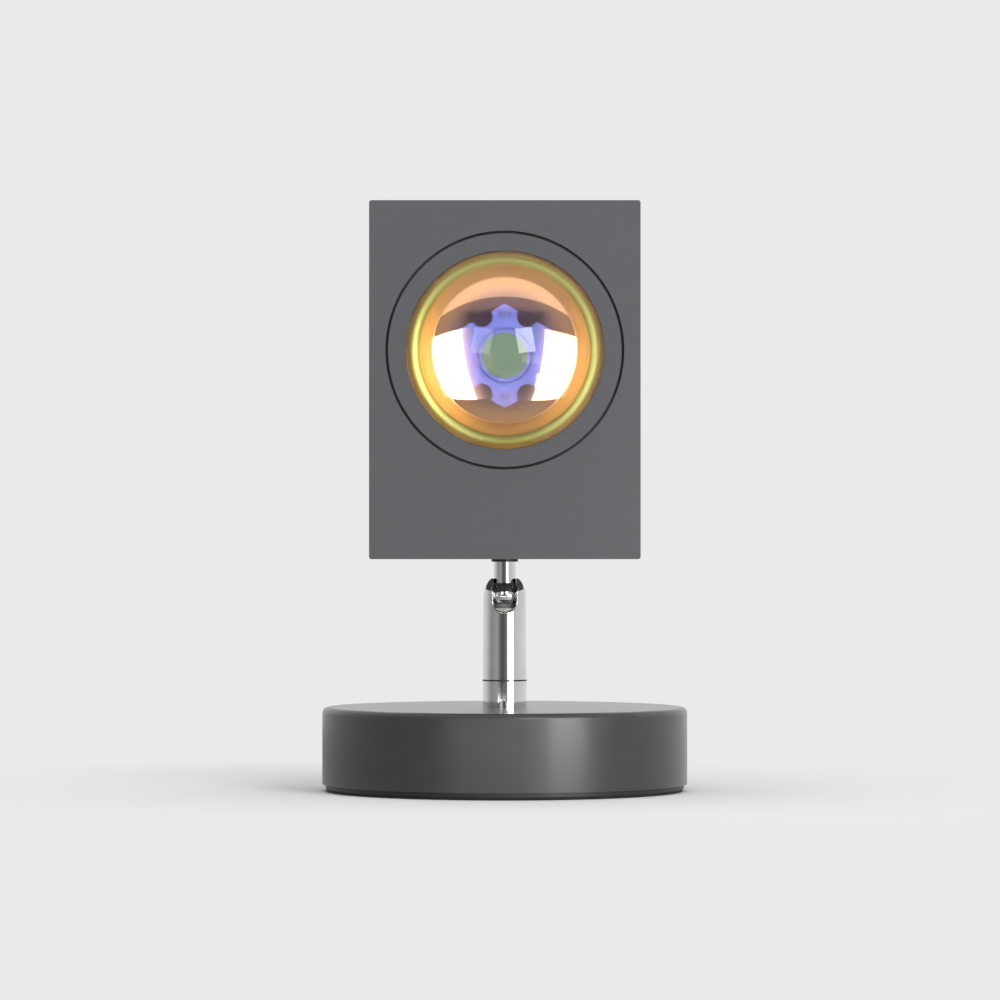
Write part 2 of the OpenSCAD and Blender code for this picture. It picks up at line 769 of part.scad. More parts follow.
module head_shell() {
    hole_end = 2;
    color(metal) difference() {
        union() {
            difference() {
                head_block(0, cover_front);
                head_block(head_wall, cover_front + cut, head_wall, 0.5);
            }
            on_lens_axis() deep_ring(head_wall/2, ledge_back, ledge_d/2, ledge_bore_d/2);
            translate([0, 0, head_z]) cylinder(h = floor_pad_t, r = floor_pad_d/2);
            intersection() {
                head_block(cover_front - rear_post_len, cover_front, head_wall/2, 0.5);
                at_rear_screws() translate([-rear_post_w/2, -rear_post_w/2, 0])
                    cube([rear_post_w, rear_post_w, head_d]);
            }
        }
        on_lens_axis() {
            translate([0, 0, -bezel_t]) cylinder(h = bezel_t + cut, r = bezel_recess_d/2);
            translate([0, 0, -ledge_back - cut]) cylinder(h = ledge_back + 2*cut, r = ledge_bore_d/2);
            at_barrel_screws() translate([0, 0, -barrel_flange_t - ledge_t + screw_bottom_gap])
                cylinder(h = ledge_t + cut, r = small_screw_d/2 + loose_fit/2);
        }
        translate([0, 0, head_z - cut])
            cylinder(h = floor_pad_t + 2*cut, r = stem_thread_d/2 + running_fit);
        at_rear_screws()
            cylinder(h = rear_cover_t + rear_post_len - hole_end, r = rear_screw_d/2 + loose_fit/2);
    }
}

module rear_cover() {
    lip_t = 1.2;
    lip_gap = 0.2;
    lip_inset = head_wall + lip_gap;
    corner_gap = 2;
    corner_w = rear_screw_inset + rear_post_w/2 + corner_gap;
    corner_from = head_z + corner_w/2;
    color(metal) difference() {
        union() {
            head_block(cover_front, head_d);
            difference() {
                head_block(cover_front - rear_lip_t, cover_front + rear_cover_t/2, lip_inset, 0.5);
                head_block(cover_front - rear_lip_t - cut, cover_front, lip_inset + lip_t, 0.2);
                for (sx = [-1, 1], sz = [0, 1])
                    translate([sx*(head_w - corner_w)/2, 0, corner_from + sz*(head_h - corner_w)])
                        cube([corner_w, 2*head_d, corner_w], center = true);
            }
        }
        at_rear_screws() flat_screw_hole(rear_screw_d, rear_cover_t + cut);
        for (i = [0:vent_count - 1])
            translate([0, head_d/2 + cut, lens_z + (i - (vent_count - 1)/2)*vent_pitch])
                rotate([90, 0, 0]) linear_extrude(rear_cover_t + 2*cut) {
                    square([vent_len - vent_w, vent_w], center = true);
                    for (sx = [-1, 1])
                        translate([sx*(vent_len - vent_w)/2, 0]) circle(vent_w/2, $fn = 24);
                }
    }
}

module rear_screws() {
    color(chrome) at_rear_screws() flat_screw(rear_screw_d, rear_cover_t + rear_post_len/2);
}

module lens_bezel() {
    recess_r = lens_flange_r + 2*loose_fit;
    spigot_r = ledge_bore_d/2 - loose_fit;
    color(metal) on_lens_axis() {
        deep_ring(0, bezel_lip_t, bezel_recess_d/2 - bezel_seam, lens_d/2 + 2*loose_fit);
        deep_ring(bezel_lip_t - running_fit, bezel_t, bezel_recess_d/2 - bezel_seam, recess_r);
        deep_ring(bezel_t - running_fit, bezel_t + bezel_spigot_t, spigot_r, recess_r);
    }
}

module lens() {
    color("#d9b26a", 0.6) on_lens_axis() {
        intersection() {
            translate([0, 0, dome_h - dome_r]) sphere(r = dome_r);
            translate([0, 0, -bezel_lip_t]) cylinder(h = dome_h + bezel_lip_t + cut, r = lens_d/2);
        }
        translate([0, 0, -lens_back]) cylinder(h = lens_flange_t, r = lens_flange_r);
    }
}

module lens_gasket() {
    color(black) on_lens_axis() deep_ring(lens_back, barrel_nose, lens_flange_r, barrel_in_r);
}

module lens_barrel() {
    slot_w = 2*wire_d + 12*loose_fit;
    throat_r = barrel_throat_d/2;
    nose_r = lens_flange_r;
    flange_r = ledge_d/2 - 2*loose_fit;
    color("#55524e") on_lens_axis() difference() {
        union() {
            deep_ring(barrel_nose, ledge_back + running_fit, nose_r, barrel_in_r);
            deep_ring(ledge_back, cone_front, flange_r, barrel_in_r);
            translate([0, 0, -cone_back]) difference() {
                cylinder(h = barrel_cone_t + running_fit, r1 = throat_r + barrel_wall,
                    r2 = barrel_in_r + barrel_wall);
                translate([0, 0, -running_fit])
                    cylinder(h = barrel_cone_t + 3*running_fit, r1 = throat_r, r2 = barrel_in_r);
            }
            deep_ring(cone_back - running_fit, barrel_back, barrel_rear_d/2, throat_r);
        }
        at_barrel_screws() translate([0, 0, -barrel_flange_t - cut])
            cylinder(h = barrel_flange_t + 2*cut, r = small_screw_d/2 + loose_fit);
        at_sink_screws() translate([0, 0, -sink_plate_t - barrel_rear_t + screw_tip_gap])
            cylinder(h = barrel_rear_t + cut, r = small_screw_d/2 + loose_fit/2);
        translate([-slot_w/2, -barrel_rear_d, -barrel_back - cut])
            cube([slot_w, barrel_rear_d, barrel_rear_t + cut]);
    }
}

module barrel_screws() {
    grip = ledge_t - screw_bottom_gap - screw_tip_gap;
    color(chrome) on_lens_axis() at_barrel_screws() pan_screw(small_screw_d, barrel_flange_t + grip);
}

// a six-sided slab with its points up and down, as wide and high as the LED board
module board_slab(t) {
    linear_extrude(t) polygon([[0, board_h/2], [-board_w/2, board_h/4], [-board_w/2, -board_h/4],
        [0, -board_h/2], [board_w/2, -board_h/4], [board_w/2, board_h/4]]);
}

// a star board: its screws sit in the notches of four sides
module led_board() {
    color("#e9ecf4") on_lens_axis() difference() {
        translate([0, 0, -board_front - board_t]) board_slab(board_t);
        at_board_screws() translate([0, 0, -board_t - cut])
            cylinder(h = board_t + 2*cut, r = board_notch_r);
        for (sx = [-1, 1]) translate([sx*board_w/2, 0, -board_front - board_t - cut])
            cylinder(h = board_t + 2*cut, r = board_notch_r);
    }
}

module led_emitter() {
    color("#e8d77a") on_lens_axis() translate([0, 0, -board_front]) cylinder(h = emitter_t, r = emitter_d/2);
}

module board_screws() {
    grip = sink_plate_t - screw_tip_gap;
    color(chrome) on_lens_axis() at_board_screws()
        pan_screw(small_screw_d, board_t + pad_t + grip);
}

module thermal_pad() {
    color("#8fa3b5") on_lens_axis() difference() {
        translate([0, 0, -barrel_back]) board_slab(pad_t);
        at_board_screws() translate([0, 0, -board_t - pad_t - cut])
            cylinder(h = pad_t + 2*cut, r = small_screw_d/2 + 2*loose_fit);
    }
}

module heat_sink() {
    color("#b9bcc0") on_lens_axis() translate([0, 0, -barrel_back - sink_plate_t]) difference() {
        union() {
            translate([-sink_w/2, -sink_h/2, 0]) cube([sink_w, sink_h, sink_plate_t]);
            for (i = [0:sink_fin_count - 1])
                translate([(i - (sink_fin_count - 1)/2)*sink_fin_pitch - sink_fin_w/2, -sink_h/2, -sink_fin_t])
                    cube([sink_fin_w, sink_h, sink_fin_t + running_fit]);
        }
        translate([0, 0, barrel_back + sink_plate_t]) {
            at_sink_screws() translate([0, 0, -sink_plate_t - cut])
                cylinder(h = sink_plate_t + 2*cut, r = small_screw_d/2 + loose_fit);
            at_board_screws() translate([0, 0, -board_t - pad_t - sink_plate_t - cut])
                cylinder(h = sink_plate_t + 2*cut, r = small_screw_d/2 + loose_fit/2);
        }
    }
}

module heat_sink_screws() {
    grip = barrel_rear_t - 2*screw_tip_gap;
    color(chrome) on_lens_axis() at_sink_screws() pan_screw(small_screw_d, sink_plate_t + grip);
}

// from the stem's end up and back to the LED board's lower edge, through the barrel's notch
module head_lead() {
    deep_y = front_y + cone_back + barrel_rear_t/2;
    start = stem_top_z + lead_gap;
    rise = lens_z - barrel_rear_d/2 - start;
    color("#b5322c") lead([[0, start], [0, start + rise*0.2], [deep_y*0.15, start + rise*0.42],
        [deep_y*0.6, start + rise*0.68], [deep_y, start + rise*0.93], [deep_y, start + rise*1.06],
        [deep_y, board_edge_z - lead_gap]]);
}

base_shell();
ballast_disc();
bottom_cover();
foot_ring();
cover_screws();
cable_bush();
collar();
collar_washer();
collar_nut();
driver_board();
driver_parts();
terminal_block();
driver_screws();
base_lead();
ball_socket();
swivel_stud();
swivel_washer();
spring_washer();
stud_nut();
ball_seat();
joint_spring();
post_lead();
ball_stem();
stem_washer();
spin_washer();
wave_washer();
stem_nut();
stem_lead();
head_shell();
rear_cover();
rear_screws();
lens_bezel();
lens();
lens_gasket();
lens_barrel();
barrel_screws();
led_board();
led_emitter();
board_screws();
thermal_pad();
heat_sink();
heat_sink_screws();
head_lead();
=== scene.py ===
"""Looks of the sunset projection lamp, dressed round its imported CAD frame.

Metres, +Z up, the lens faces -Y. New pieces are surfaces worked out with numpy, in millimetres; the CAD nodes
keep their shapes and get the finishes below.
"""

import json
import math

import bpy
import numpy as np
from mathutils import Matrix, Vector

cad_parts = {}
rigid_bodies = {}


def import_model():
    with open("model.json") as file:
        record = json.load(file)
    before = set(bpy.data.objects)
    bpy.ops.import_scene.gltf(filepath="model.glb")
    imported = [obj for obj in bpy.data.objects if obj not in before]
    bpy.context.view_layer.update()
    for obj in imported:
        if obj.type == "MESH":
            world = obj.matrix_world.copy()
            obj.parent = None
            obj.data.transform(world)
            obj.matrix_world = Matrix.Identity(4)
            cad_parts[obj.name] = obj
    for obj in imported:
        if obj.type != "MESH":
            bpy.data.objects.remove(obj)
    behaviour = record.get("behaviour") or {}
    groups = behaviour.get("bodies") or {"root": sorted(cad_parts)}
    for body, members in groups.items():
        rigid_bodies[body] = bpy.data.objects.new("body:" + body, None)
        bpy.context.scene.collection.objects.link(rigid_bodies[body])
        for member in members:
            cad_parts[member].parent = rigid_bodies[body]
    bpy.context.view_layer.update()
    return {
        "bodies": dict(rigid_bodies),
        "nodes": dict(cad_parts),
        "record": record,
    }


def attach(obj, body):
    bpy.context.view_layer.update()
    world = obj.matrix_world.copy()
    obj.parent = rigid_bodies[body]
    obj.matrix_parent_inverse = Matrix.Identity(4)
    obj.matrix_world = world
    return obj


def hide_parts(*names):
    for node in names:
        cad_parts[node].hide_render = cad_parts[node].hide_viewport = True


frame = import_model()
MM = 0.001

# ---- sizes, in millimetres, as the part's source has them ----

FRONT_Y = -29.0          # the head's front face
LENS_Z = 147.5           # the lens axis above the table
DOME_R = 32.75           # the dome that shows
DOME_RISE = 12.5         # how far it stands out
LIP_DEPTH = 1.4          # depth of the lens's flange behind the front face
FLANGE_R = 34.75
FLANGE_BACK = 3.35       # depth of its back, 0.05 short of the gasket
BOARD_FACE = 31.9        # depth of the LED board's front face
PIVOT_Z = 66.0           # the ball's centre
SOCKET_FOOT_Z = 37.5     # the socket's foot, above the swivel's washer
SOCKET_FOOT_R = 7.5
SOCKET_TOP_R = 7.25      # the socket at the ball's centre, and its rounded shoulders
NOTCH_W = 8.0            # width of the socket's front notch
NOTCH_Z = 64.0           # centre of its round end

# ---- sizes of the pieces that are made here, in millimetres ----

DOME_EDGE = 0.25         # the dome's rim is cut off this far in, before its corner
DOME_DROP = 0.05         # and the corner lies this far behind the front face
LENS_ROUND = 0.2         # the lens's corners
FILM_GAP = 0.02          # between the lens's back and the coating
FILM_T = 0.03
FILM_MIRROR_R = 22.1     # the coating is a clean mirror this far out
FILM_ORANGE_R = 26.4     # and orange this far
FILM_EDGE_R = 32.5       # and olive to its edge, on a rounded shoulder
FILM_LEVEL_R = 21.8      # its middle is flat this far out
FILM_DISH = 0.5          # how deep the orange zone dishes
FILM_ROUND = 9.2         # radius of the shoulder
EDGE_R = 0.4             # the notch's rounded edge, as a rod
EDGE_IN = 0.2            # its middle lies this far inside the socket's skin
EDGE_OUT = 0.2           # and this far outside the notch's side
EDGE_TOP_Z = 71.0
PAD_AT_R = 8.4           # the LED board's pads, one on each lobe
PAD_W = 1.5
PAD_L = 2.5
PAD_RISE = 0.22
DAM_IN_R = 4.75          # the dam round the phosphor
DAM_OUT_R = 5.55
DAM_RISE = 1.05
DAM_ROUND = 0.32


# ---- meshes ----

def facing_out(verts, *faces):
    """The face arrays of a closed mesh as one list, turned round if the mesh's signed volume, the sum of
    a.(b x c)/6 over its triangles, is negative."""
    volume = 0.0
    for part in faces:
        for i in range(1, part.shape[1] - 1):
            a, b, c = verts[part[:, 0]], verts[part[:, i]], verts[part[:, i + 1]]
            volume += float(np.einsum("ij,ij->i", a, np.cross(b, c)).sum())
    step = 1 if volume >= 0 else -1
    return [face for part in faces for face in part[:, ::step].tolist()]


def grid_quads(k, round_about=False):
    """Four-sided faces between the neighbours of a grid of vertex numbers, whose last column can meet its
    first."""
    after = np.roll(k, -1, 1) if round_about else k[:, 1:]
    here = k if round_about else k[:, :-1]
    return np.stack([here[:-1], after[:-1], after[1:], here[1:]], -1).reshape(-1, 4)


def spun(profile, sides, closed=False):
    """A surface of revolution about Z: point (r, h) of the profile at angle t is (r cos t, r sin t, h). A
    point on the axis becomes one vertex, and its faces have three sides. closed joins the last point to the
    first."""
    r, h = np.asarray(profile, float).T
    t = np.linspace(0, 2*np.pi, sides, endpoint=False)
    grid = np.stack([np.outer(r, np.cos(t)), np.outer(r, np.sin(t)), np.repeat(h[:, None], sides, 1)], -1)
    pole = r < 1e-9
    own = ~pole[:, None] | (np.arange(sides) == 0)
    number = np.cumsum(own).reshape(own.shape) - 1
    if closed:
        number = np.vstack([number, number[:1]])
    quads = grid_quads(number, round_about=True)
    at_start, at_end = quads[:, 0] == quads[:, 1], quads[:, 2] == quads[:, 3]
    verts = grid[own]
    return verts, facing_out(verts, quads[~at_start & ~at_end], quads[at_start & ~at_end][:, 1:],
                             quads[at_end & ~at_start][:, :3])


def softened(points, radius, steps=4, shut=True):
    """The profile with its corners rounded. With u and v the unit sides that leave corner p, and r the
    smaller of radius and 0.45 of the shorter side, the corner becomes p + r((1 - k)^2 u + k^2 v), k from 0
    to 1. A point on either side, r/4 further out, keeps the flats flat. An open profile keeps its ends."""
    points = np.asarray(points, float)
    sides = [np.roll(points, 1, 0) - points, np.roll(points, -1, 0) - points]
    lengths = [np.linalg.norm(side, axis=1)[:, None] for side in sides]
    reach = np.minimum(radius, 0.45*np.minimum(*lengths))
    to_last, to_next = [(side/length*reach)[:, None] for side, length in zip(sides, lengths)]
    s = np.concatenate([[-0.25], np.linspace(0, 1, steps + 1), [1.25]])[:, None]
    k = np.clip(s, 0, 1)
    arcs = points[:, None] + to_last*((1 - k)**2 + 0.25*(s < 0)) + to_next*(k**2 + 0.25*(s > 1))
    if shut:
        return arcs.reshape(-1, 2)
    return np.vstack([points[:1], arcs[1:-1].reshape(-1, 2), points[-1:]])


def swept(path, radius, sides=14):
    """A round rod along a path: point (t, a) is path(t) + r(t)(n cos a + b sin a), where n and b are square
    to the path and r falls to nothing over its last radius at each end, as a ball end does."""
    path = np.asarray(path, float)
    run = np.concatenate([[0], np.cumsum(np.linalg.norm(np.diff(path, axis=0), axis=1))])
    cap = radius*(1 - np.cos(np.linspace(0, np.pi/2, 6)[:-1]))
    s = np.concatenate([cap, np.linspace(radius, run[-1] - radius, len(path)), run[-1] - cap[::-1]])
    line = np.column_stack([np.interp(s, run, path[:, k]) for k in range(3)])
    way = np.gradient(line, axis=0)
    way /= np.linalg.norm(way, axis=1)[:, None]
    end = np.minimum(s, run[-1] - s)
    r = np.where(end < radius, np.sqrt(np.clip(radius**2 - (radius - end)**2, 0, None)), radius)
    side = np.cross(way, np.array([0.0, 1.0, 0.0]))
    side /= np.linalg.norm(side, axis=1)[:, None]
    up = np.cross(side, way)
    a = np.linspace(0, 2*np.pi, sides, endpoint=False)[None, :, None]
    ring = (side[:, None]*np.cos(a) + up[:, None]*np.sin(a))*r[:, None, None]
    body = (line[:, None] + ring)[1:-1]
    k = np.arange(len(body)*sides).reshape(-1, sides)
    first = np.stack([np.roll(k[0], -1), k[0], np.full(sides, k.size)], -1)
    last = np.stack([k[-1], np.roll(k[-1], -1), np.full(sides, k.size + 1)], -1)
    verts = np.vstack([body.reshape(-1, 3), line[:1], line[-1:]])
    return verts, facing_out(verts, grid_quads(k, round_about=True), first, last)


def lens_placed(verts):
    """Turns a body made along Z, with Z the way out of the lens and zero at the front face, into the head."""
    x, y, z = verts.T
    return np.column_stack([x, FRONT_Y - z, LENS_Z + y])


def mesh_object(name, verts, faces, finish):
    """A mesh object in the scene, from points in millimetres."""
    mesh = bpy.data.meshes.new(name)
    mesh.from_pydata((np.asarray(verts)*MM).tolist(), [], faces)
    mesh.validate()
    mesh.materials.append(finish)
    obj = bpy.data.objects.new(name, mesh)
    bpy.context.scene.collection.objects.link(obj)
    return obj


def piece(name, verts, faces, finish, body, replaces=()):
    """A smooth piece of the lamp, which rides on a body."""
    obj = mesh_object(name, verts, faces, finish)
    obj.data.shade_smooth()
    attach(obj, body)
    if replaces:
        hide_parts(*replaces)


# ---- materials ----

PATCH = 22                           # size of the broad noise's patches, in grains
PATCH_SHARE = 0.4                    # how much they count beside the grain
TONES_FROM, TONES_TO = 0.42, 0.98    # where the sum of the two noises mostly lies


def srgb(code, alpha=1.0):
    """Linear colour of an sRGB hex value: each share c is c/12.92 under 0.04045, and above it
    ((c + 0.055)/1.055)^2.4."""
    shares = [int(code[i:i + 2], 16)/255 for i in (1, 3, 5)]
    return (*[c/12.92 if c <= 0.04045 else ((c + 0.055)/1.055)**2.4 for c in shares], alpha)


def add(tree, kind, sockets=(), **settings):
    """Adds one node with its settings; sockets gives each input its value or the output that feeds it."""
    node = tree.nodes.new(kind)
    for name, value in settings.items():
        setattr(node, name, value)
    for key, value in dict(sockets).items():
        if isinstance(value, bpy.types.NodeSocket):
            tree.links.new(value, node.inputs[key])
        else:
            node.inputs[key].default_value = value
    return node


def set_stops(ramp, low, high, stops):
    """Gives a colour ramp its stops, each a place on the scale from low to high and a colour. The first stop
    is at low and the last at high."""
    ramp[0].color, ramp[1].color = stops[0][1], stops[-1][1]
    for at, colour in stops[1:-1]:
        ramp.new((at - low)/(high - low)).color = colour


def new_finish(name):
    """An empty material with its tree, its output node and the Object coordinates."""
    mat = bpy.data.materials.new(name)
    mat.use_nodes = True
    tree = mat.node_tree
    tree.nodes.clear()
    out = add(tree, "ShaderNodeOutputMaterial")
    place = add(tree, "ShaderNodeTexCoord").outputs["Object"]
    return mat, tree, out, place


def per_mm(size):
    """Scale of a noise whose features are about size millimetres across."""
    return 1/(size*MM)


def grained(name, dark, light, rough, grain_mm, bump_mm, metallic=0.0, stretch=(1, 1, 1), rough_spread=0.06,
            **fixed):
    """A surface whose colour runs between two tones, and whose gloss and relief vary, over a grain of a real
    size. A stretch under 1 draws the grain out along that axis, as drawing or turning does."""
    mat, tree, out, place = new_finish(name)
    where = add(tree, "ShaderNodeMapping", {"Vector": place, "Scale": stretch}).outputs[0]
    fine = add(tree, "ShaderNodeTexNoise", {"Vector": where, "Scale": per_mm(grain_mm), "Detail": 3.0,
                                            "Roughness": 0.6}).outputs["Fac"]
    broad = add(tree, "ShaderNodeTexNoise", {"Vector": where, "Scale": per_mm(grain_mm*PATCH),
                                             "Detail": 2.0}).outputs["Fac"]
    tone = add(tree, "ShaderNodeMath", {0: broad, 1: PATCH_SHARE, 2: fine},
               operation="MULTIPLY_ADD").outputs[0]
    share = add(tree, "ShaderNodeMapRange", {"Value": tone, "From Min": TONES_FROM,
                                             "From Max": TONES_TO}).outputs[0]
    colour = add(tree, "ShaderNodeMix", {"Factor": share, "A": srgb(dark), "B": srgb(light)},
                 data_type="RGBA").outputs["Result"]
    gloss = add(tree, "ShaderNodeMapRange", {"Value": share, "To Min": rough - rough_spread,
                                             "To Max": rough + rough_spread}).outputs[0]
    relief = add(tree, "ShaderNodeBump", {"Height": fine, "Distance": bump_mm*MM, "Strength": 1.0}).outputs[0]
    shader = add(tree, "ShaderNodeBsdfPrincipled", {"Base Color": colour, "Roughness": gloss,
                                                    "Normal": relief, "Metallic": metallic, **fixed})
    tree.links.new(shader.outputs[0], out.inputs[0])
    return mat


def halves(name, left, right, rough, grain_mm, bump_mm, rough_spread=0.1):
    """Two mouldings of one node, told apart by the side of x = 0 that they are on."""
    mat, tree, out, place = new_finish(name)
    x = add(tree, "ShaderNodeSeparateXYZ", {0: place}).outputs["X"]
    side = add(tree, "ShaderNodeMath", {0: x, 1: 0.0}, operation="GREATER_THAN").outputs[0]
    fine = add(tree, "ShaderNodeTexNoise", {"Vector": place, "Scale": per_mm(grain_mm),
                                            "Detail": 3.0}).outputs["Fac"]
    tones = [add(tree, "ShaderNodeMix", {"Factor": fine, "A": srgb(a), "B": srgb(b)},
                 data_type="RGBA").outputs["Result"] for a, b in (left, right)]
    colour = add(tree, "ShaderNodeMix", {"Factor": side, "A": tones[0], "B": tones[1]},
                 data_type="RGBA").outputs["Result"]
    gloss = add(tree, "ShaderNodeMapRange", {"Value": fine, "To Min": rough - rough_spread,
                                             "To Max": rough + rough_spread}).outputs[0]
    relief = add(tree, "ShaderNodeBump", {"Height": fine, "Distance": bump_mm*MM}).outputs[0]
    shader = add(tree, "ShaderNodeBsdfPrincipled", {"Base Color": colour, "Roughness": gloss,
                                                    "Normal": relief})
    tree.links.new(shader.outputs[0], out.inputs[0])
    return mat


FINISH = {
    # Polyester powder coat, fine texture: matt grey, with an even pebbled grain of about half a millimetre
    # that breaks up every highlight.
    "head_paint": grained("powder_coat_grey", "#525256", "#5c5c60", 0.62, 0.45, 0.035),
    # Sprayed satin lacquer over a turned casing: smoother than the head, a broad soft sheen, faint specks.
    "base_paint": grained("satin_lacquer_grey", "#303034", "#3a3a3e", 0.38, 0.35, 0.012,
                          **{"Coat Weight": 0.4, "Coat Roughness": 0.18, "Coat IOR": 1.3}),
    # Decorative chrome over polished brass: mirror bright, a trace of haze where it has been wiped.
    "chrome_plate": grained("chrome_plate", "#c9cbcd", "#d6d8da", 0.05, 9.0, 0.0003, metallic=1.0,
                            rough_spread=0.01),
    # Grey iron as cast, blackened: coarse, dull, with metal showing through the black.
    "cast_iron": grained("blackened_cast_iron", "#262627", "#3a3a3b", 0.72, 0.9, 0.08, metallic=0.6),
    # Moulded ABS with a spark-eroded texture: even black with a soft gleam on its edges.
    "black_plastic": grained("moulded_abs_black", "#141415", "#1d1d1f", 0.48, 0.3, 0.012),
    # Thermoplastic rubber foot: dead matt black, slightly dusty.
    "soft_foot": grained("soft_rubber_foot", "#101011", "#1c1c1c", 0.86, 0.6, 0.02),
    # Moulded rubber: black with a dull skin.
    "black_rubber": grained("moulded_rubber_black", "#111112", "#1a1a1b", 0.74, 0.5, 0.015),
    # Bright zinc on steel: cool silver with a cloudy passivated gloss.
    "zinc_steel": grained("zinc_plated_steel", "#a5a9ae", "#bfc2c4", 0.30, 1.2, 0.004, metallic=1.0),
    # Turned brass: warm, with fine tool rings across the axis.
    "brass_turned": grained("turned_brass", "#b08a45", "#cda35a", 0.28, 0.25, 0.01, metallic=1.0,
                            stretch=(0.12, 0.12, 1)),
    # Moulded nylon, black and natural: waxy half gloss.
    "nylon_black": grained("nylon_black", "#131314", "#1a1a1c", 0.42, 0.8, 0.004),
    "nylon_white": grained("nylon_natural", "#d9d5c8", "#e4e1d6", 0.46, 1.5, 0.004),
    # Screw terminal in moulded polyamide: plain green, matt.
    "terminal_green": grained("polyamide_green", "#2a6b3c", "#337a46", 0.5, 0.7, 0.006),
    # Silicone gap pad: soft grey blue, dull and a little uneven.
    "pad_grey": grained("silicone_gap_pad", "#7f8f9f", "#93a1ae", 0.8, 0.8, 0.03),
    # Extruded aluminium, bare: drawing lines run along the fins.
    "bare_aluminium": grained("extruded_aluminium", "#b0b2b5", "#cfd1d3", 0.36, 0.25, 0.01, metallic=1.0,
                              stretch=(1, 1, 0.06)),
    # Hard drawn spring wire: darker steel with a drawn, oily gloss.
    "spring_steel": grained("drawn_spring_wire", "#7c7f84", "#989ba0", 0.34, 0.3, 0.006, metallic=1.0),
    # Spun aluminium cone, sprayed dark bronze inside against stray light: dim, its grain drawn out inwards.
    "barrel_lacquer": grained("dark_bronze_lacquer", "#3a2a24", "#4a372f", 0.5, 0.5, 0.01,
                              stretch=(1, 0.2, 1)),
    # White solder mask over a metal core: hard, bright, slightly glossy.
    "board_white": grained("white_solder_mask", "#dde0e6", "#e8eaee", 0.34, 0.8, 0.003),
    # Glass cloth laminate with green solder mask: glossy over a faint weave.
    "board_green": grained("green_solder_mask", "#174d2e", "#1f6339", 0.28, 0.4, 0.006),
    # Copper pads dipped in solder: pale and barely metallic, a painted highlight in place of the bright
    # glints that shiny solder would show; slightly uneven.
    "tinned_copper": grained("tinned_copper", "#d6d4ce", "#e8e6e2", 0.28, 0.6, 0.02, metallic=0.15),
    # White silicone bead round the phosphor: smooth, soft gloss.
    "silicone_dam": grained("white_silicone", "#d8dbdf", "#e6e8ea", 0.35, 0.5, 0.006),
    # Silicone filled with phosphor: dull greenish yellow, unlit.
    "phosphor": grained("phosphor_silicone", "#c6e858", "#d4f06c", 0.55, 0.5, 0.01),
    # PVC insulation, one red and one black wire: soft gloss.
    "wire_red": halves("pvc_wire_pair", ("#a8231c", "#bb2f26"), ("#161617", "#202021"), 0.42, 0.8, 0.01),
    # The coil's enamelled copper to the left, glossy and ridged; the capacitor's blue sleeve to the right.
    "driver_parts": halves("copper_winding_and_sleeve", ("#7c3d17", "#b0692f"), ("#1b2744", "#24335a"),
                           0.35, 0.35, 0.05),
}


def dome_glass():
    """Pressed and polished borosilicate glass: clear, with the faintest waviness of pressing."""
    mat, tree, out, place = new_finish("polished_glass")
    wave = add(tree, "ShaderNodeTexNoise", {"Vector": place, "Scale": per_mm(16.0),
                                            "Detail": 0.0}).outputs["Fac"]
    relief = add(tree, "ShaderNodeBump", {"Height": wave, "Distance": 0.012*MM}).outputs[0]
    shader = add(tree, "ShaderNodeBsdfPrincipled", {"Base Color": srgb("#fbfcfa"), "Roughness": 0.0,
                                                    "IOR": 1.5, "Transmission Weight": 1.0,
                                                    "Normal": relief})
    tree.links.new(shader.outputs[0], out.inputs[0])
    return mat


